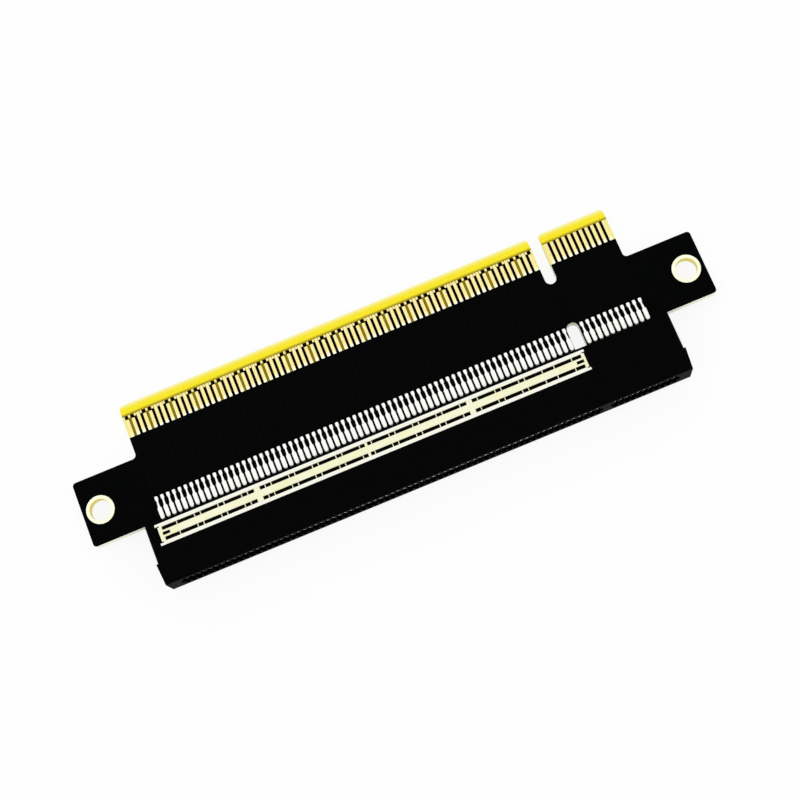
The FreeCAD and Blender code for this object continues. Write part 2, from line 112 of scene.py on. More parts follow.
def soft_rectangle(half_x, half_y, radius, steps):
    """Rectangle with round corners: a quarter circle of the radius, in equal steps, about each corner's
    centre, going round anticlockwise."""
    turn = np.linspace(0, math.pi / 2, steps)[None, :] + np.arange(4)[:, None] * math.pi / 2
    side_x = np.array([1, -1, -1, 1])[:, None] * (half_x - radius)
    side_y = np.array([1, 1, -1, -1])[:, None] * (half_y - radius)
    return np.stack((side_x + radius * np.cos(turn), side_y + radius * np.sin(turn)), -1).reshape(-1, 2)


def pillow(outlines, heights):
    """Closed form from outlines stacked at rising heights, each joined to the next, with a flat cap at
    the bottom and the top."""
    count = len(outlines[0])
    rings = [np.column_stack((ring, np.full(count, height))) for ring, height in zip(outlines, heights)]
    bottom = np.arange(count)[::-1]
    top = np.arange(count) + count * (len(rings) - 1)
    return np.concatenate(rings), [grid_quads(len(rings), count, True), bottom[None, :], top[None, :]]


def turned(profile, steps):
    """Closed profile of radius and height carried once round the Z axis: x = r cos a, y = r sin a."""
    angle = np.linspace(0, 2 * math.pi, steps, endpoint=False)[:, None]
    radius, height = np.array(profile).T
    points = np.stack((radius * np.cos(angle), radius * np.sin(angle), height + 0 * angle), -1)
    rings = len(profile)
    around = np.arange(steps)[:, None] * rings
    along = np.arange(rings)[None, :]
    next_around = (around + rings) % (steps * rings)
    next_along = (along + 1) % rings
    corners = (around + along, next_around + along, next_around + next_along, around + next_along)
    return points.reshape(-1, 3), [np.stack(corners, -1).reshape(-1, 4)]


def at_each(points, faces, places):
    """The shape repeated with its origin at each place, all as one array."""
    count = len(points)
    places = np.asarray(places, float)
    moved = (points[None, :, :] + places[:, None, :]).reshape(-1, 3)
    shift = np.arange(len(places))[:, None, None] * count
    return moved, [(group[None, :, :] + shift).reshape(-1, group.shape[1]) for group in faces]


def on_face(points, faces, side):
    """Points whose height is measured from the middle plane, put on the front face, or mirrored to the
    back. A mirrored face is turned round so that it still points out."""
    placed = points * (1, 1, side) + (0, 0, MIDDLE)
    return placed, faces if side > 0 else [group[:, ::-1] for group in faces]


def new_piece(name, points, faces, material, slot, nodes, smooth_angle=None):
    """Mesh object at the origin that rides on the card and stands for the given CAD nodes."""
    mesh = bpy.data.meshes.new(name)
    polygons = [polygon for group in faces for polygon in group.tolist()]
    mesh.from_pydata((points * MM).tolist(), [], polygons)
    mesh.validate()
    piece = bpy.data.objects.new(name, mesh)
    bpy.context.scene.collection.objects.link(piece)
    finish_piece(piece, material, nodes, smooth_angle)
    return piece


def finish_piece(piece, material, nodes, smooth_angle=None):
    """Material, shading, body and replaced nodes of a piece. Edges sharper than the angle, in
    degrees, stay sharp."""
    piece.data.materials.clear()
    piece.data.materials.append(material)
    if smooth_angle is not None:
        piece.data.shade_smooth()
        piece.data.set_sharp_from_angle(angle=math.radians(smooth_angle))
    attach(piece, "root")
    if nodes:
        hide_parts(*nodes)


def soften(piece, width, segments=2, angle=30):
    """Round the piece's sharp edges by a width in millimetres."""
    bevel = piece.modifiers.new("soft_edges", "BEVEL")
    bevel.width = width * MM
    bevel.segments = segments
    bevel.limit_method = "ANGLE"
    bevel.angle_limit = math.radians(angle)
    bevel.harden_normals = True


# ---------------------------------------------------------------- materials

# Sockets of a Mix node that mixes two colours.
SHARE, FROM, TO = 0, 6, 7


def colour(code):
    """Linear colour, with alpha, of an sRGB hex code."""
    channels = [int(code[place:place + 2], 16) / 255 for place in (1, 3, 5)]
    linear = [c / 12.92 if c <= 0.04045 else ((c + 0.055) / 1.055) ** 2.4 for c in channels]
    return (*linear, 1.0)


def add(tree, kind, inputs=(), **settings):
    """Add one node. Settings name its properties. Inputs come in the order of the sockets, or by name or
    number: a value, a hex code, or the output that feeds the socket. A node given there stands for its
    first output in use."""
    made = tree.nodes.new("ShaderNode" + kind)
    for name, setting in settings.items():
        setattr(made, name, setting)
    for key, given in (inputs.items() if isinstance(inputs, dict) else enumerate(inputs)):
        if isinstance(given, bpy.types.Node):
            given = next(output for output in given.outputs if output.enabled)
        if isinstance(given, bpy.types.NodeSocket):
            tree.links.new(given, made.inputs[key])
        else:
            made.inputs[key].default_value = colour(given) if isinstance(given, str) else given
    return made


def new_material(name):
    """Empty material, its tree and the coordinates of the object, in metres."""
    material = bpy.data.materials.new(name)
    material.use_nodes = True
    tree = material.node_tree
    tree.nodes.clear()
    return material, tree, add(tree, "TexCoord")


def speckle(tree, place, size, stretch=(1, 1, 1), detail=2.0):
    """Noise whose grains are the given size in millimetres, drawn out along an axis by a smaller scale."""
    scaled = add(tree, "Mapping", {"Vector": place.outputs["Object"], "Scale": stretch})
    return add(tree, "TexNoise", {"Vector": scaled, "Scale": 1 / (size * MM), "Detail": detail})


def where_all(tree, *shares):
    """One where every share is one: the product of the shares."""
    joined, *others = shares
    for other in others:
        joined = add(tree, "Math", [joined, other], operation="MULTIPLY")
    return joined


def band(tree, value, low, high, edge):
    """One between two places in millimetres and nought outside, fading over an edge to either side."""
    rising = add(tree, "MapRange", [value, (low - edge) * MM, (low + edge) * MM])
    falling = add(tree, "MapRange", [value, (high - edge) * MM, (high + edge) * MM, 1, 0])
    return where_all(tree, rising, falling)


def sees_background(tree):
    """One for a ray from the camera, or sent on by a gloss or a clear body, so that metal shows the white
    background as the eye sees it."""
    path = add(tree, "LightPath").outputs
    seen = add(tree, "Math", [path["Is Camera Ray"], path["Is Glossy Ray"]], operation="MAXIMUM")
    return add(tree, "Math", [seen, path["Is Transmission Ray"]], operation="MAXIMUM")


# How squarely up or down a face of the board points at least, and how squarely its bevel does.
FACE_NORMAL = 0.985
BEVEL_NORMAL = 0.8

# Copper tracks under the mask.
TRACK_HALF = 0.17
TRACK_EDGE = 0.03
TRACK_LOW = contact_high[1] + 0.1
TRACK_HIGH = finger_low[1] - 0.1
COPPER_THICKNESS = 0.03

# The mask dips and swells over this width, carries fine dust, and opens round the pads with a small edge.
MASK_RIPPLE = 1.3
MASK_DUST = 0.12
MASK_EDGE = 0.02

# Laminate: height of a layer, width and depth of a tool mark, length of the burr that the bevel pulls out
# of the copper, and where the ground resin starts to look paler towards its thin end. The milled outline
# is cut clean and shines more than the ground bevel.
LAYER = 0.2
TOOL_MARK = 0.09
MARK_DEPTH = 0.01
BURR = 0.55
PALE_START = finger_high[1] + 0.9
MILLED_GLOSS = 0.5
GROUND_GLOSS = 0.06


def copper_tracks(tree, x, y):
    """One over each track and nought between. Tracks run straight and centred on the pins, from above the
    contacts to below the fingers, but not across the key or outside the rows."""
    half_pitch = 0.5 * PITCH * MM
    shifted = add(tree, "Math", [x, half_pitch], operation="ADD")
    from_pin = add(tree, "Math", [shifted, half_pitch], operation="PINGPONG")
    near_pin = add(tree, "MapRange", [from_pin, (TRACK_HALF - TRACK_EDGE) * MM,
                                      (TRACK_HALF + TRACK_EDGE) * MM, 1, 0])
    run = band(tree, y, TRACK_LOW, TRACK_HIGH, TRACK_EDGE)
    row_end = FIRST_PIN_X + PITCH / 2
    rows = band(tree, x, -row_end, row_end, TRACK_EDGE)
    key = band(tree, x, LONG_ROW_START + PITCH / 2, SHORT_ROW_END - PITCH / 2, TRACK_EDGE)
    off_key = add(tree, "Math", [1.0, key], operation="SUBTRACT")
    return where_all(tree, near_pin, run, rows, off_key)


def open_margin(tree, x, y):
    """One beside the outer fingers, where the mask stops at the pads and the laminate lies bare up to the
    ends of the tongue and the key notch."""
    row_end = FIRST_PIN_X + FINGER_HALF
    long_row = band(tree, x, -row_end, LONG_ROW_START + FINGER_HALF, MASK_EDGE)
    short_row = band(tree, x, SHORT_ROW_END - FINGER_HALF, row_end, MASK_EDGE)
    padded = add(tree, "Math", [long_row, short_row], operation="ADD")
    beside = add(tree, "Math", [1.0, padded], operation="SUBTRACT")
    beside_pads = add(tree, "MapRange", [y, (finger_low[1] - MASK_EDGE) * MM,
                                         (finger_low[1] + MASK_EDGE) * MM])
    return where_all(tree, beside_pads, beside)


def ground_resin(tree, y, streaks):
    """Colour of the bevel: bright yellow resin in fine tool marks, paler where it grows thin, and dark
    with burr beside the cut ends of the fingers."""
    resin = add(tree, "Mix", {SHARE: streaks, FROM: "#f6e21a", TO: "#fff034"}, data_type="RGBA")
    thinning = add(tree, "MapRange", [y, PALE_START * MM, board_high[1] * MM])
    thin = add(tree, "Math", [thinning, 2], operation="POWER")
    paler = add(tree, "Mix", {SHARE: thin, FROM: resin, TO: "#fcf9bc"}, data_type="RGBA")
    burr = add(tree, "MapRange", [y, FINGER_TOP * MM, (FINGER_TOP + BURR) * MM, 1, 0])
    return add(tree, "Mix", {SHARE: burr, FROM: paler, TO: "#7a6400"}, data_type="RGBA")


def milled_edge(tree, z, margin, streaks):
    """Colour of the milled outline, whose cut layers show as pale lines, and of the bare yellow margin."""
    half_layer = 0.5 * LAYER * MM
    from_layer = add(tree, "Math", [z, half_layer], operation="PINGPONG")
    layers = add(tree, "MapRange", [from_layer, 0, half_layer])
    edge = add(tree, "Mix", {SHARE: layers, FROM: "#efecd2", TO: "#fbfaec"}, data_type="RGBA")
    bare = add(tree, "Mix", {SHARE: streaks, FROM: "#eee27c", TO: "#f8f09c"}, data_type="RGBA")
    return add(tree, "Mix", {SHARE: margin, FROM: edge, TO: bare}, data_type="RGBA")


def solder_mask_on_laminate():
    """Glass-epoxy board, printed with black epoxy solder mask over etched copper. The mask was cured flat,
    so its faces are smooth and even, with the copper tracks as a shallow relief. The edge bevel was ground
    and the outline milled, so there the bare yellow laminate shows its layers and the tool's marks."""
    material, tree, place = new_material("black_solder_mask_on_glass_epoxy")
    x, y, z = add(tree, "SeparateXYZ", [place.outputs["Object"]]).outputs
    facing = add(tree, "SeparateXYZ", [place.outputs["Normal"]]).outputs
    level = add(tree, "Math", [facing["Z"]], operation="ABSOLUTE")

    tracks = copper_tracks(tree, x, y)
    ripple = speckle(tree, place, MASK_RIPPLE, detail=1.0)
    half_ripple = add(tree, "Math", [ripple, 0.5], operation="MULTIPLY")
    relief = add(tree, "Math", [tracks, half_ripple], operation="ADD")
    dust = speckle(tree, place, MASK_DUST)
    ripple_share = add(tree, "MapRange", [ripple, 0.35, 0.7])
    ink = add(tree, "Mix", {SHARE: ripple_share, FROM: "#010202", TO: "#030303"}, data_type="RGBA")
    mask = add(tree, "BsdfPrincipled", {
        "Base Color": add(tree, "Mix", {SHARE: tracks, FROM: ink, TO: "#040404"}, data_type="RGBA"),
        "Roughness": add(tree, "MapRange", [dust, 0.3, 0.8, 0.28, 0.4]),
        "Normal": add(tree, "Bump", {"Height": relief, "Strength": 0.4, "Distance": COPPER_THICKNESS * MM}),
        "IOR": 1.5,
        "Specular IOR Level": 0.015,
    })

    margin = open_margin(tree, x, y)
    past_fingers = add(tree, "Math", [y, FINGER_TOP * MM], operation="GREATER_THAN")
    on_bevel = add(tree, "Math", [level, BEVEL_NORMAL], operation="GREATER_THAN")
    ground = where_all(tree, on_bevel, past_fingers)
    streaks = speckle(tree, place, TOOL_MARK, stretch=(0.15, 1.0, 1.0), detail=3.0)
    streak_share = add(tree, "MapRange", [streaks, 0.3, 0.7])
    bare_colour = add(tree, "Mix", {SHARE: ground, FROM: milled_edge(tree, z, margin, streak_share),
                                    TO: ground_resin(tree, y, streak_share)}, data_type="RGBA")
    bare = add(tree, "BsdfPrincipled", {
        "Base Color": bare_colour,
        "Roughness": 0.4,
        "Normal": add(tree, "Bump", {"Height": streaks, "Distance": MARK_DEPTH * MM}),
        "IOR": 1.5,
        "Specular IOR Level": add(tree, "MapRange", [ground, 0, 1, MILLED_GLOSS, GROUND_GLOSS]),
    })

    on_face = add(tree, "Math", [level, FACE_NORMAL], operation="GREATER_THAN")
    unmasked = add(tree, "Math", [margin, past_fingers], operation="MAXIMUM")
    printed = add(tree, "Math", [1.0, unmasked], operation="SUBTRACT")
    shown = add(tree, "MixShader", [where_all(tree, on_face, printed), bare, mask])
    add(tree, "OutputMaterial", [shown])
    return material


# Moulded housing: grain of the eroded tool, width of a glass fibre's streak, and depth of the relief that
# they leave. The real fibres are about twenty times finer, and are drawn coarse enough to show.
GRAIN = 0.14
FIBRE = 0.2
GRAIN_DEPTH = 0.006
HOUSING_GLOSS = 0.02
MATING_GLOSS = 0.003


def moulded_housing_plastic():
    """Glass-filled liquid-crystal polymer, injection moulded in black. The tool was spark eroded, which
    leaves a fine even grain, and short glass fibres show as faint lighter streaks along the flow. The
    mating face was moulded against the coarsest part of the tool and is the most matt."""
    material, tree, place = new_material("black_moulded_liquid_crystal_polymer")
    facing = add(tree, "SeparateXYZ", [place.outputs["Normal"]]).outputs
    grain = speckle(tree, place, GRAIN)
    fibres = speckle(tree, place, FIBRE, stretch=(0.12, 1.0, 1.0), detail=3.0)
    fibre_share = add(tree, "MapRange", [fibres, 0.5, 0.8])
    fibre_relief = add(tree, "Math", [fibres, 0.4], operation="MULTIPLY")
    relief = add(tree, "Math", [grain, fibre_relief], operation="ADD")
    shader = add(tree, "BsdfPrincipled", {
        "Base Color": add(tree, "Mix", {SHARE: fibre_share, FROM: "#010101", TO: "#040404"},
                          data_type="RGBA"),
        "Roughness": add(tree, "MapRange", [grain, 0.3, 0.7, 0.32, 0.48]),
        "Normal": add(tree, "Bump", {"Height": relief, "Distance": GRAIN_DEPTH * MM}),
        "IOR": 1.5,
        "Specular IOR Level": add(tree, "MapRange", [facing["Y"], -0.95, -0.7, MATING_GLOSS, HOUSING_GLOSS]),
    })
    add(tree, "OutputMaterial", [shader])
    return material


# Plated metal: how far wipe marks are drawn out along Y, and how far they vary the roughness.
MARK_STRETCH = 0.08
MARK_GLOSS = 0.07


def plated_metal(name, pale, deep, roughness, grain, mark, depth, region=None, tint=None):
    """Plated metal. The grain of the plating shows in two shades, and wiping leaves fine marks along Y
    that vary the gloss. Grain, mark and the depth of their relief are in millimetres, with the grain drawn
    coarser than the real one, which is too fine to show. A region gives the share of a tint from the
    place and the facing of the surface."""
    material, tree, place = new_material(name)
    grains = speckle(tree, place, grain)
    marks = speckle(tree, place, mark, stretch=(1.0, MARK_STRETCH, 1.0), detail=3.0)
    relief = add(tree, "Math", [grains, marks], operation="ADD")
    share = add(tree, "MapRange", [relief, 0.6, 1.4])
    shade = add(tree, "Mix", {SHARE: share, FROM: deep, TO: pale}, data_type="RGBA")
    if region:
        spot = add(tree, "SeparateXYZ", [place.outputs["Object"]]).outputs
        facing = add(tree, "SeparateXYZ", [place.outputs["Normal"]]).outputs
        tinted = region(tree, spot, facing)
        shade = add(tree, "Mix", {SHARE: tinted, FROM: shade, TO: tint}, data_type="RGBA")
    shader = add(tree, "BsdfPrincipled", {
        "Base Color": shade,
        "Metallic": 1.0,
        "Roughness": add(tree, "MapRange", [marks, 0.3, 0.7, roughness - MARK_GLOSS, roughness + MARK_GLOSS]),
        "Normal": add(tree, "Bump", {"Height": relief, "Distance": depth * MM}),
    })
    add(tree, "OutputMaterial", [shader])
    return material


# Length at the lower end of a finger over which the gold turns paler, and width of a bar's rail with the soft
# edge of its tint.
PALE_END = 0.8
RAIL = 0.56
RAIL_EDGE = 0.05


def lower_ends(tree, spot, facing):
    """One at the lower end of the fingers, falling to nought up their length."""
    return add(tree, "MapRange", [spot["Y"], finger_low[1] * MM, (finger_low[1] + PALE_END) * MM, 1, 0])


def shaded_barrel(tree, spot, facing):
    """One on the wall of a hole, where the darker tint is painted shade, and nought on its rings."""
    level = add(tree, "Math", [facing["Z"]], operation="ABSOLUTE")
    return add(tree, "MapRange", [level, 0.2, 0.7, 1, 0])


def rails(tree, spot, facing):
    """One on the two rails of a bar and nought on its middle band."""
    middle = band(tree, spot["Y"], bar_low[1] + RAIL, bar_high[1] - RAIL, RAIL_EDGE)
    return add(tree, "Math", [1.0, middle], operation="SUBTRACT")


# Threads of the glass cloth.
THREAD = 0.2
THREAD_DEPTH = 0.01


def bare_laminate():
    """Glass-epoxy laminate with no mask over it, as etching left it: yellow resin, dull and dark between
    the bright fingers, with a faint weave of the glass cloth."""
    material, tree, place = new_material("bare_glass_epoxy")
    weft = speckle(tree, place, THREAD, stretch=(1.0, 0.3, 1.0))
    warp = speckle(tree, place, THREAD, stretch=(0.3, 1.0, 1.0))
    weave = add(tree, "Math", [weft, warp], operation="ADD")
    share = add(tree, "MapRange", [weave, 0.7, 1.3])
    shader = add(tree, "BsdfPrincipled", {
        "Base Color": add(tree, "Mix", {SHARE: share, FROM: "#766604", TO: "#8a7a06"}, data_type="RGBA"),
        "Roughness": 0.5,
        "Normal": add(tree, "Bump", {"Height": weave, "Distance": THREAD_DEPTH * MM}),
        "IOR": 1.5,
        "Specular IOR Level": 0.06,
    })
    add(tree, "OutputMaterial", [shader])
    return material


mask_finish = solder_mask_on_laminate()
housing_black = moulded_housing_plastic()
laminate = bare_laminate()
# Hard gold over nickel on copper, electroplated: satin and pale, and palest at the lower ends of the fingers.
finger_gold = plated_metal("hard_gold_plate", pale="#f6eaae", deep="#ead98a", roughness=0.5, grain=0.25,
                           mark=0.08, depth=0.004, region=lower_ends, tint="#f8f5e4")
# Thin immersion gold over nickel: matt, even and almost white, with painted shade as a deeper olive in the
# barrel of the hole.
ring_gold = plated_metal("immersion_gold_plate", pale="#f5f5e0", deep="#f0efce", roughness=0.5, grain=0.2,
                         mark=0.1, depth=0.004, region=shaded_barrel, tint="#e2d670")
# Matt tin electroplated on phosphor bronze strip: white, with a fine dull grain.
matt_tin = plated_metal("matt_tin_plate", pale="#f8f8f5", deep="#f0f0ea", roughness=0.55, grain=0.15,
                        mark=0.1, depth=0.006)
# Lead-free solder, which freezes to a fine dull grain a little darker than the tin.
solder_metal = plated_metal("lead_free_solder", pale="#f4f4f0", deep="#dadad6", roughness=0.4, grain=0.12,
                            mark=0.15, depth=0.01)
# Brass strip, stamped and flashed with nickel and pale gold, on rails that wore to the nickel. The flash
# varies in patches a few millimetres wide.
bar_plate = plated_metal("flash_plated_stamped_brass", pale="#ecebda", deep="#e4e3b4", roughness=0.55,
                         grain=2.5, mark=0.2, depth=0.003, region=rails, tint="#e9e9de")


# ---------------------------------------------------------------- board, housing and plated holes

MERGE = 0.001
# Radius of the housing's moulded edges.
HOUSING_EDGE = 0.06

# Plated hole: its bore, the drilled wall behind the plating, and the round of its lips.
HOLE_RADIUS = 1.75
BARREL_RADIUS = 1.85
HOLE_STEPS = 72
LIP = 0.08
LIP_STEPS = 5
RING_EDGE = 0.02
RING_RADIUS = (ring_high[0] - ring_low[0]) / 2
RING_TOP = ring_high[2] - MIDDLE


def merged_copy(node, name):
    """Copy of a CAD node's mesh, with its doubles merged and its flat triangles joined to whole faces."""
    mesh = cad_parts[node].data.copy()
    mesh.name = name
    piece = bpy.data.objects.new(name, mesh)
    bpy.context.scene.collection.objects.link(piece)
    work = bmesh.new()
    work.from_mesh(mesh)
    bmesh.ops.remove_doubles(work, verts=work.verts, dist=MERGE * MM)
    bmesh.ops.dissolve_limit(work, angle_limit=math.radians(1), verts=work.verts, edges=work.edges)
    work.to_mesh(mesh)
    work.free()
    return piece


def plated_hole():
    """Barrel with a ring on each face, turned about Z. The inner lip is a quarter circle, where
    r = hole + lip (1 - cos a) and z = top - lip (1 - sin a), and the ring's outer edge is cut off."""
    turn = np.linspace(0, math.pi / 2, LIP_STEPS)
    lip = np.column_stack((HOLE_RADIUS + LIP * (1 - np.cos(turn)), RING_TOP - LIP * (1 - np.sin(turn))))
    edge = [(RING_RADIUS - RING_EDGE, RING_TOP), (RING_RADIUS, RING_TOP - RING_EDGE),
            (RING_RADIUS, BOARD_HALF), (BARREL_RADIUS, BOARD_HALF)]
    upper = np.concatenate((lip, edge))
    return turned(np.concatenate((upper, upper[::-1] * (1, -1))), HOLE_STEPS)


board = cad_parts["circuit_board"]
board.data.materials.clear()
board.data.materials.append(mask_finish)

housing = merged_copy("slot_housing", "moulded_housing")
finish_piece(housing, housing_black, ["slot_housing"])
soften(housing, HOUSING_EDGE)

hole_centre = (ring_low + ring_high) / 2
for side_name, side in (("right", 1), ("left", -1)):
    points, faces = plated_hole()
    points += (side * hole_centre[0], hole_centre[1], MIDDLE)
    new_piece(f"{side_name}_plated_hole", points, faces, ring_gold, "gold", [f"{side_name}_hole_plating"], 35)


# ---------------------------------------------------------------- fingers, contacts and solder

# Pads: round of a finger's corners and rim, gaps between fingers, ties between their ends.
FINGER_CORNER = 0.1
FINGER_RIM = 0.03
GAP_HALF = (PITCH - 2 * FINGER_HALF) / 2
GAP_RISE = 0.004
TIE_LENGTH = 0.45
TIE_HALF = 0.17
PAD_CORNER = 0.02
PAD_SINK = 0.01

# Contacts: the tail ends on the board, climbs to a shoulder in front of the housing and slopes down
# through it to the sprung point in the slot.
METAL = 0.2
METAL_CORNER = 0.05
TAIL_TOP = contact_high[1] - 0.18
TAIL_SHIFT = 0.07
SHOULDER = TAIL_TOP - 1.78
RAISED = contact_high[2] - MIDDLE - METAL - 0.22
SPRING_TIP = contact_low[1]
SPRING_POINT = SPRING_TIP + 1.6
SPRING_GAP_HALF = 0.5

# Solder mound under a toe, with how far its top is drawn in to each side.
MOUND_HALF_X = 0.29
MOUND_HALF_Y = 0.36
MOUND_TAPER_X = 0.03
MOUND_TAPER_Y = 0.04
MOUND_CORNER = 0.1
MOUND_RISE = 0.12
MOUND_MIDDLE = TAIL_TOP - 0.34


def kinds_of(face):
    """Pins of one face sorted into the three kinds of row."""
    ground = GROUND_PINS[face]
    signal = [pin for pin in range(SHORT_PINS + 1, LAST_PIN + 1) if pin not in ground]
    return {"utility": range(1, SHORT_PINS + 1), "ground": ground, "signal": signal}


def finger(top):
    """Pad from its lower end to its top: a soft rectangle at the board, the same below the rim, then
    drawn in by the rim's radius."""
    half_length = (top - finger_low[1]) / 2
    outlines = [soft_rectangle(FINGER_HALF - inset, half_length - inset, FINGER_CORNER - inset, 3)
                for inset in (0, 0, FINGER_RIM)]
    heights = (BOARD_HALF, BOARD_HALF + 0.6 * FINGER_RISE, BOARD_HALF + FINGER_RISE)
    points, faces = pillow(outlines, heights)
    return points + (0, top - half_length, 0), faces


def pad(half_x, low, high, rise):
    """Thin flat pad between two places along Y, from just under the board's face to a rise above it."""
    outline = soft_rectangle(half_x, (high - low) / 2, PAD_CORNER, 2)
    points, faces = pillow([outline] * 2, (BOARD_HALF - PAD_SINK, BOARD_HALF + rise))
    return points + (0, (high + low) / 2, 0), faces


def gaps_between(pins):
    """Middles of the gaps between the neighbours among some pins of the long row."""
    pins = np.array(pins)
    return pin_x(pins[:-1][np.diff(pins) == 1]) - PITCH / 2


def along_x(places):
    """Places along the card as points with no height."""
    places = np.asarray(places, float)
    return np.column_stack((places, 0 * places, 0 * places))


def contact():
    """Stamped strip: a section with its upper corners cut off is carried along the side line, and its
    width follows the hourglass of the tail. Each row is one station of place, height and width, and the
    sloped ones lie on the straight line from the shoulder to the sprung point."""
    slope = (RAISED - SPRING_GAP_HALF) / (SHOULDER - SPRING_POINT)
    stations = np.array([
        (TAIL_TOP, BOARD_HALF, 0.43),
        (TAIL_TOP - 0.07, BOARD_HALF, 0.53),
        (TAIL_TOP - 0.50, BOARD_HALF, 0.53),
        (TAIL_TOP - 0.64, BOARD_HALF, 0.42),
        (TAIL_TOP - 0.76, BOARD_HALF + 0.01, 0.30),
        (TAIL_TOP - 1.10, BOARD_HALF + 0.11, 0.29),
        (SHOULDER, RAISED - 0.02, 0.38),
        (SHOULDER - 0.06, RAISED - 0.06 * slope, 0.44),
        (SHOULDER - 0.16, RAISED - 0.16 * slope, 0.60),
        (SHOULDER - 0.26, RAISED - 0.26 * slope, 0.69),
        (SHOULDER - 1.72, RAISED - 1.72 * slope, 0.69),
        (SHOULDER - 2.00, RAISED - 2.00 * slope, 0.50),
        (SHOULDER - 2.12, RAISED - 2.12 * slope - 0.25, 0.44),
        (SPRING_POINT - 0.30, SPRING_GAP_HALF + 0.02, 0.44),
        (SPRING_TIP, SPRING_GAP_HALF + 0.55, 0.40),
    ])
    along, height, width = stations.T
    half = width / 2
    inner = half - METAL_CORNER
    section_x = np.stack((half, half, inner, -inner, -half, -half), 1)
    side_top = METAL - METAL_CORNER
    section_z = np.array([0, side_top, METAL, METAL, side_top, 0])[None, :] + height[:, None]
    points = np.stack((section_x, np.broadcast_to(along[:, None], section_x.shape), section_z), -1)
    rows, columns = section_x.shape
    ends = [np.arange(columns)[None, ::-1], np.arange(columns)[None, :] + columns * (rows - 1)]
    return points.reshape(-1, 3), [grid_quads(rows, columns, True), *ends]


def solder_mound():
    """Solder round a toe: a soft rectangle on the board that is drawn in as it climbs the toe's side,
    along a hollow curve, where the height goes with the step to the power 1.8."""
    climb = np.array([0.0, 0.35, 0.7, 1.0])
    outlines = [soft_rectangle(MOUND_HALF_X - MOUND_TAPER_X * step, MOUND_HALF_Y - MOUND_TAPER_Y * step,
                               MOUND_CORNER, 3) for step in climb]
    points, faces = pillow(outlines, BOARD_HALF + MOUND_RISE * climb ** 1.8)
    return points + (0, MOUND_MIDDLE, 0), faces


for face, side in FACES.items():
    kinds = kinds_of(face)
    for kind, pins in kinds.items():
        places = along_x(pin_x(pins))
        finger_end = FINGER_TOP - SIGNAL_STEP if kind == "signal" else FINGER_TOP
        pads = on_face(*at_each(*finger(finger_end), places), side)
        new_piece(f"{face}_{kind}_finger_pads", *pads, finger_gold, "gold", [f"{face}_{kind}_fingers"], 40)
        strips = on_face(*at_each(*contact(), places + (TAIL_SHIFT, 0, 0)), side)
        new_piece(f"{face}_{kind}_contact_strips", *strips, matt_tin, "tin", [f"{face}_{kind}_contacts"], 30)

    mounds = at_each(*solder_mound(), along_x(pin_x(range(1, LAST_PIN + 1)) + TAIL_SHIFT))
    new_piece(f"{face}_solder_joints", *on_face(*mounds, side), solder_metal, "tin", [], 50)
    # Between neighbouring signal fingers the mask is left out, and the bare laminate shows.
    gaps = at_each(*pad(GAP_HALF, finger_low[1], FINGER_TOP, GAP_RISE),
                   along_x(gaps_between(kinds["signal"])))
    new_piece(f"{face}_unmasked_gaps", *on_face(*gaps, side), laminate, "solder_mask", [])
    # Stubs of the plating bus, which joined the fingers of the long row until the bevel was ground.
    ties = at_each(*pad(TIE_HALF, FINGER_TOP - TIE_LENGTH, FINGER_TOP, FINGER_RISE),
                   along_x(gaps_between(range(SHORT_PINS + 1, LAST_PIN + 1))))
    new_piece(f"{face}_finger_ties", *on_face(*ties, side), finger_gold, "gold", [])


# ---------------------------------------------------------------- ground bars

BAR_EDGE = 0.03
# Rails reach past the end posts by a tip, with a slit behind it. Then come a row of windows and, towards
# the middle of the bar, the band with its end slots.
RAIL_TIP = 0.2
TIP_HEIGHT = 0.40
NECK_SLIT = 0.22
NECK_DEPTH = 0.3
WINDOW = 0.63
END_SHIFT = 0.15
END_SLOT_HALF = 0.25
# Widths of the left and the right post, and start and end of each end slot from its end of the bar.
POSTS = (0.7, 0.55)
LEFT_SLOT = (0.55, 1.75)
RIGHT_SLOT = (0.4, 1.6)
# Middle and width of each wide bridge, and width and shift of the thin one at each ground contact.
WIDE_BRIDGES = [(10.19, 0.95), (-7.31, 0.44), (-25.81, 1.0)]
THIN_BRIDGE = 0.14
BRIDGE_SHIFT = 0.1


def perforated_strip(x_lines, y_lines, solid, low, high):
    """Flat strip on a lattice: every solid cell has a top and a bottom, and a wall stands wherever a
    solid cell meets an open one. Cells are rows of Y by columns of X."""
    across, along = np.meshgrid(x_lines, y_lines)
    layer = np.column_stack((across.ravel(), along.ravel()))
    points = np.concatenate([np.column_stack((layer, np.full(len(layer), level))) for level in (low, high)])
    width = len(x_lines)
    above = len(layer)
    row, column = np.nonzero(solid)
    first = row * width + column
    corners = np.stack((first, first + 1, first + width + 1, first + width), -1)
    faces = [corners[:, ::-1], corners + above]
    padded = np.pad(solid, 1)
    inner = padded[1:-1, 1:-1]
    edges = ((padded[:-2, 1:-1], 0, 1), (padded[1:-1, 2:], 1, 2),
             (padded[2:, 1:-1], 2, 3), (padded[1:-1, :-2], 3, 0))
    for neighbour, start, end in edges:
        open_here = (inner & ~neighbour)[row, column]
        low_edge = corners[open_here][:, [start, end]]
        faces.append(np.column_stack((low_edge, low_edge[:, ::-1] + above)))
    points, place = np.unique(np.round(points, 6), axis=0, return_inverse=True)
    return points, [place.reshape(-1)[group] for group in faces]


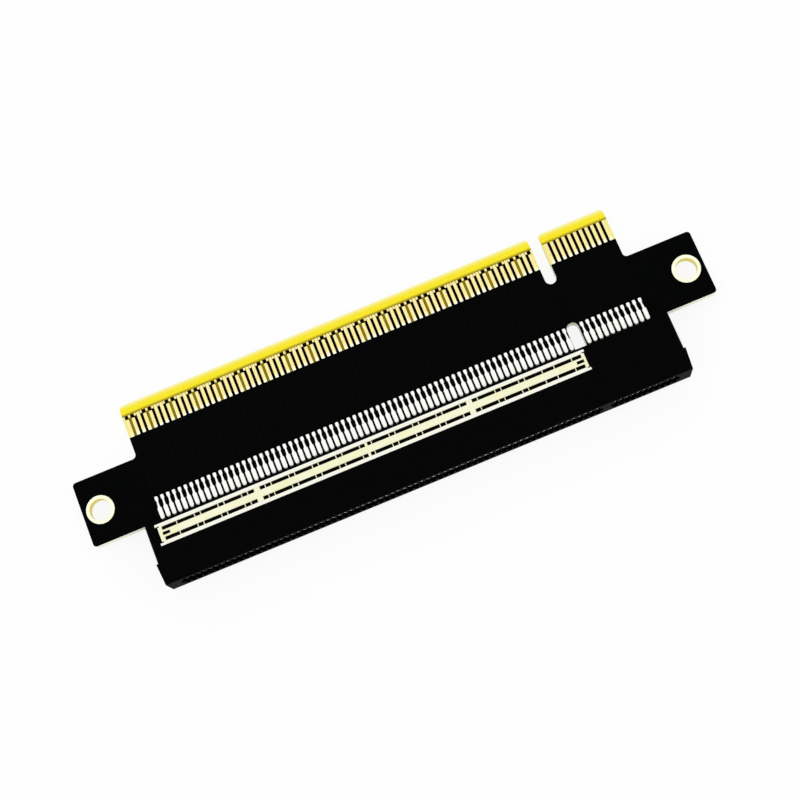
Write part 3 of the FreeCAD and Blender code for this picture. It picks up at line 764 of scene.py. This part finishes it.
def ground_bar(face):
    """Rails with tips that reach past the end posts, a middle band with a slot at each end, and two rows
    of windows that a wide bridge or the thin bridge of a ground contact crosses."""
    left, right = bar_low[0] + RAIL_TIP + END_SHIFT, bar_high[0] - RAIL_TIP
    front, rear = bar_low[1], bar_high[1]
    punch_left, punch_right = left + POSTS[0], right - POSTS[1]
    pins = pin_x(GROUND_PINS[face]) + BRIDGE_SHIFT
    pins = pins[(pins > punch_left) & (pins < punch_right)]
    spans = [(place - width / 2, place + width / 2) for place, width in WIDE_BRIDGES]
    spans += [(place - THIN_BRIDGE / 2, place + THIN_BRIDGE / 2) for place in pins]
    slots = [(left + LEFT_SLOT[0], left + LEFT_SLOT[1]), (right - RIGHT_SLOT[1], right - RIGHT_SLOT[0])]

    # The lattice has a line wherever metal can begin or end, and its upper half mirrors the lower.
    marks = [bar_low[0], left, left + NECK_DEPTH, punch_left, punch_right, right - NECK_DEPTH, right,
             bar_high[0]]
    marks += [end for span in spans + slots for end in span]
    x_lines = np.unique(np.round(marks, 4))
    middle = (front + rear) / 2
    lower = [front, front + TIP_HEIGHT, front + TIP_HEIGHT + NECK_SLIT, front + RAIL, front + RAIL + WINDOW,
             middle - END_SLOT_HALF]
    y_lines = np.array(lower + [2 * middle - line for line in reversed(lower)])

    # Each row of cells is solid between the posts apart from its own openings.
    centre = (x_lines[1:] + x_lines[:-1]) / 2
    inside = (centre > left) & (centre < right)
    necked = (centre > left + NECK_DEPTH) & (centre < right - NECK_DEPTH)
    bridged = np.any([(centre > low) & (centre < high) for low, high in spans], axis=0)
    window = (centre > punch_left) & (centre < punch_right) & ~bridged
    slotted = np.any([(centre > low) & (centre < high) for low, high in slots], axis=0)
    half_rows = [np.ones_like(inside), necked, inside, inside & ~window, inside]
    rows = half_rows + [inside & ~slotted] + half_rows[::-1]
    top = bar_high[2] - MIDDLE
    bottom = bar_low[2] - MIDDLE
    return perforated_strip(x_lines, y_lines, np.array(rows), bottom, top)


for face, side in FACES.items():
    strip = new_piece(f"{face}_stamped_bar", *on_face(*ground_bar(face), side), bar_plate, "bar_metal",
                      [f"{face}_ground_bar"])
    soften(strip, BAR_EDGE)


# ---------------------------------------------------------------- camera, floor and light

# Floor: reach to each side, drop below what rests on it, width of the paint's mottle, and share of plain
# white that the eye sees in it.
FLOOR_HALF = 1500.0
FLOOR_GAP = 0.02
FLOOR_MOTTLE = 40.0
FLOOR_GLOW = 0.88
# Light that the room gives to all but the eye.
ROOM_LIGHT = 0.8

# The camera stands over the card and a little towards the mating face. Its axes point to the right and
# up in the view, and back from the card.
CAMERA_LENS = 75.2
CAMERA_X, CAMERA_Y, CAMERA_Z = -0.26, -66.17, 261.36

camera_data = bpy.data.cameras.new("camera")
camera_data.lens = CAMERA_LENS
camera_data.sensor_width = 36.0
camera_data.clip_start = 0.01
camera_data.clip_end = 20.0
camera = bpy.data.objects.new("camera", camera_data)
bpy.context.scene.collection.objects.link(camera)
right_in_view = (0.92482, -0.36943, -0.09070)
up_in_view = (0.38039, 0.89681, 0.22590)
back_from_card = (-0.00212, -0.24342, 0.96992)
camera_turn = Matrix((right_in_view, up_in_view, back_from_card)).transposed().to_4x4()
camera_place = Matrix.Translation((CAMERA_X * MM, CAMERA_Y * MM, CAMERA_Z * MM))
camera.matrix_world = camera_place @ camera_turn
bpy.context.scene.camera = camera


def tilted_floor():
    """Square under the card, which rests on its back bar and on the tips of its back fingers. The floor
    slopes along Y from the one to the other, just below both."""
    rear_y, rear_z = bar_high[1], 2 * MIDDLE - bar_high[2]
    tip_y, tip_z = finger_high[1], 2 * MIDDLE - finger_high[2]
    slope = math.atan2(tip_z - rear_z, tip_y - rear_y)
    corners = FLOOR_HALF * np.array([(-1, -1), (1, -1), (1, 1), (-1, 1)])
    x, along = corners.T
    points = np.column_stack((x, rear_y + along * math.cos(slope),
                              rear_z + along * math.sin(slope) - FLOOR_GAP))
    mesh = bpy.data.meshes.new("floor")
    mesh.from_pydata((points * MM).tolist(), [], [(0, 1, 2, 3)])
    return bpy.data.objects.new("floor", mesh)


def white_table():
    """White painted table top: a faint mottle of the paint, shown near white to the eye so that the
    object's shadow stays faint."""
    material, tree, place = new_material("white_painted_table")
    mottle = speckle(tree, place, FLOOR_MOTTLE)
    paint = add(tree, "BsdfPrincipled", {
        "Base Color": add(tree, "Mix", {SHARE: mottle, FROM: "#f4f4f4", TO: "#fbfbfb"}, data_type="RGBA"),
        "Roughness": 0.9,
    })
    glow = add(tree, "Emission", {"Color": "#ffffff", "Strength": 1.0})
    share = add(tree, "Math", [sees_background(tree), FLOOR_GLOW], operation="MULTIPLY")
    add(tree, "OutputMaterial", [add(tree, "MixShader", [share, paint, glow])])
    return material


floor = tilted_floor()
bpy.context.scene.collection.objects.link(floor)
floor.data.materials.append(white_table())


def soft_lamp(name, place, size, power):
    """Square lamp, in metres and watts, that faces the card."""
    data = bpy.data.lights.new(name, "AREA")
    data.shape = "SQUARE"
    data.size = size
    data.energy = power
    lamp = bpy.data.objects.new(name, data)
    bpy.context.scene.collection.objects.link(lamp)
    lamp.location = place
    lamp.rotation_euler = (-Vector(place)).to_track_quat("-Z", "Y").to_euler()


soft_lamp("top_softbox", (0.0, 0.28, 1.12), 0.9, 0.4)
soft_lamp("left_softbox", (-0.75, -0.15, 0.75), 0.6, 1.0)
soft_lamp("right_softbox", (0.75, -0.15, 0.75), 0.6, 1.0)
soft_lamp("rear_softbox", (0.0, 0.95, 0.65), 0.7, 0.8)
soft_lamp("low_front_softbox", (0.0, -0.95, 0.28), 0.6, 1.4)

world = bpy.data.worlds.new("studio")
bpy.context.scene.world = world
world.use_nodes = True
sky_tree = world.node_tree
sky_tree.nodes.clear()
room = add(sky_tree, "Background", {"Color": "#ffffff", "Strength": ROOM_LIGHT})
white = add(sky_tree, "Background", {"Color": "#ffffff", "Strength": 1.0})
sky = add(sky_tree, "MixShader", [sees_background(sky_tree), room, white])
add(sky_tree, "OutputWorld", [sky])

bpy.context.scene.view_settings.view_transform = "Standard"
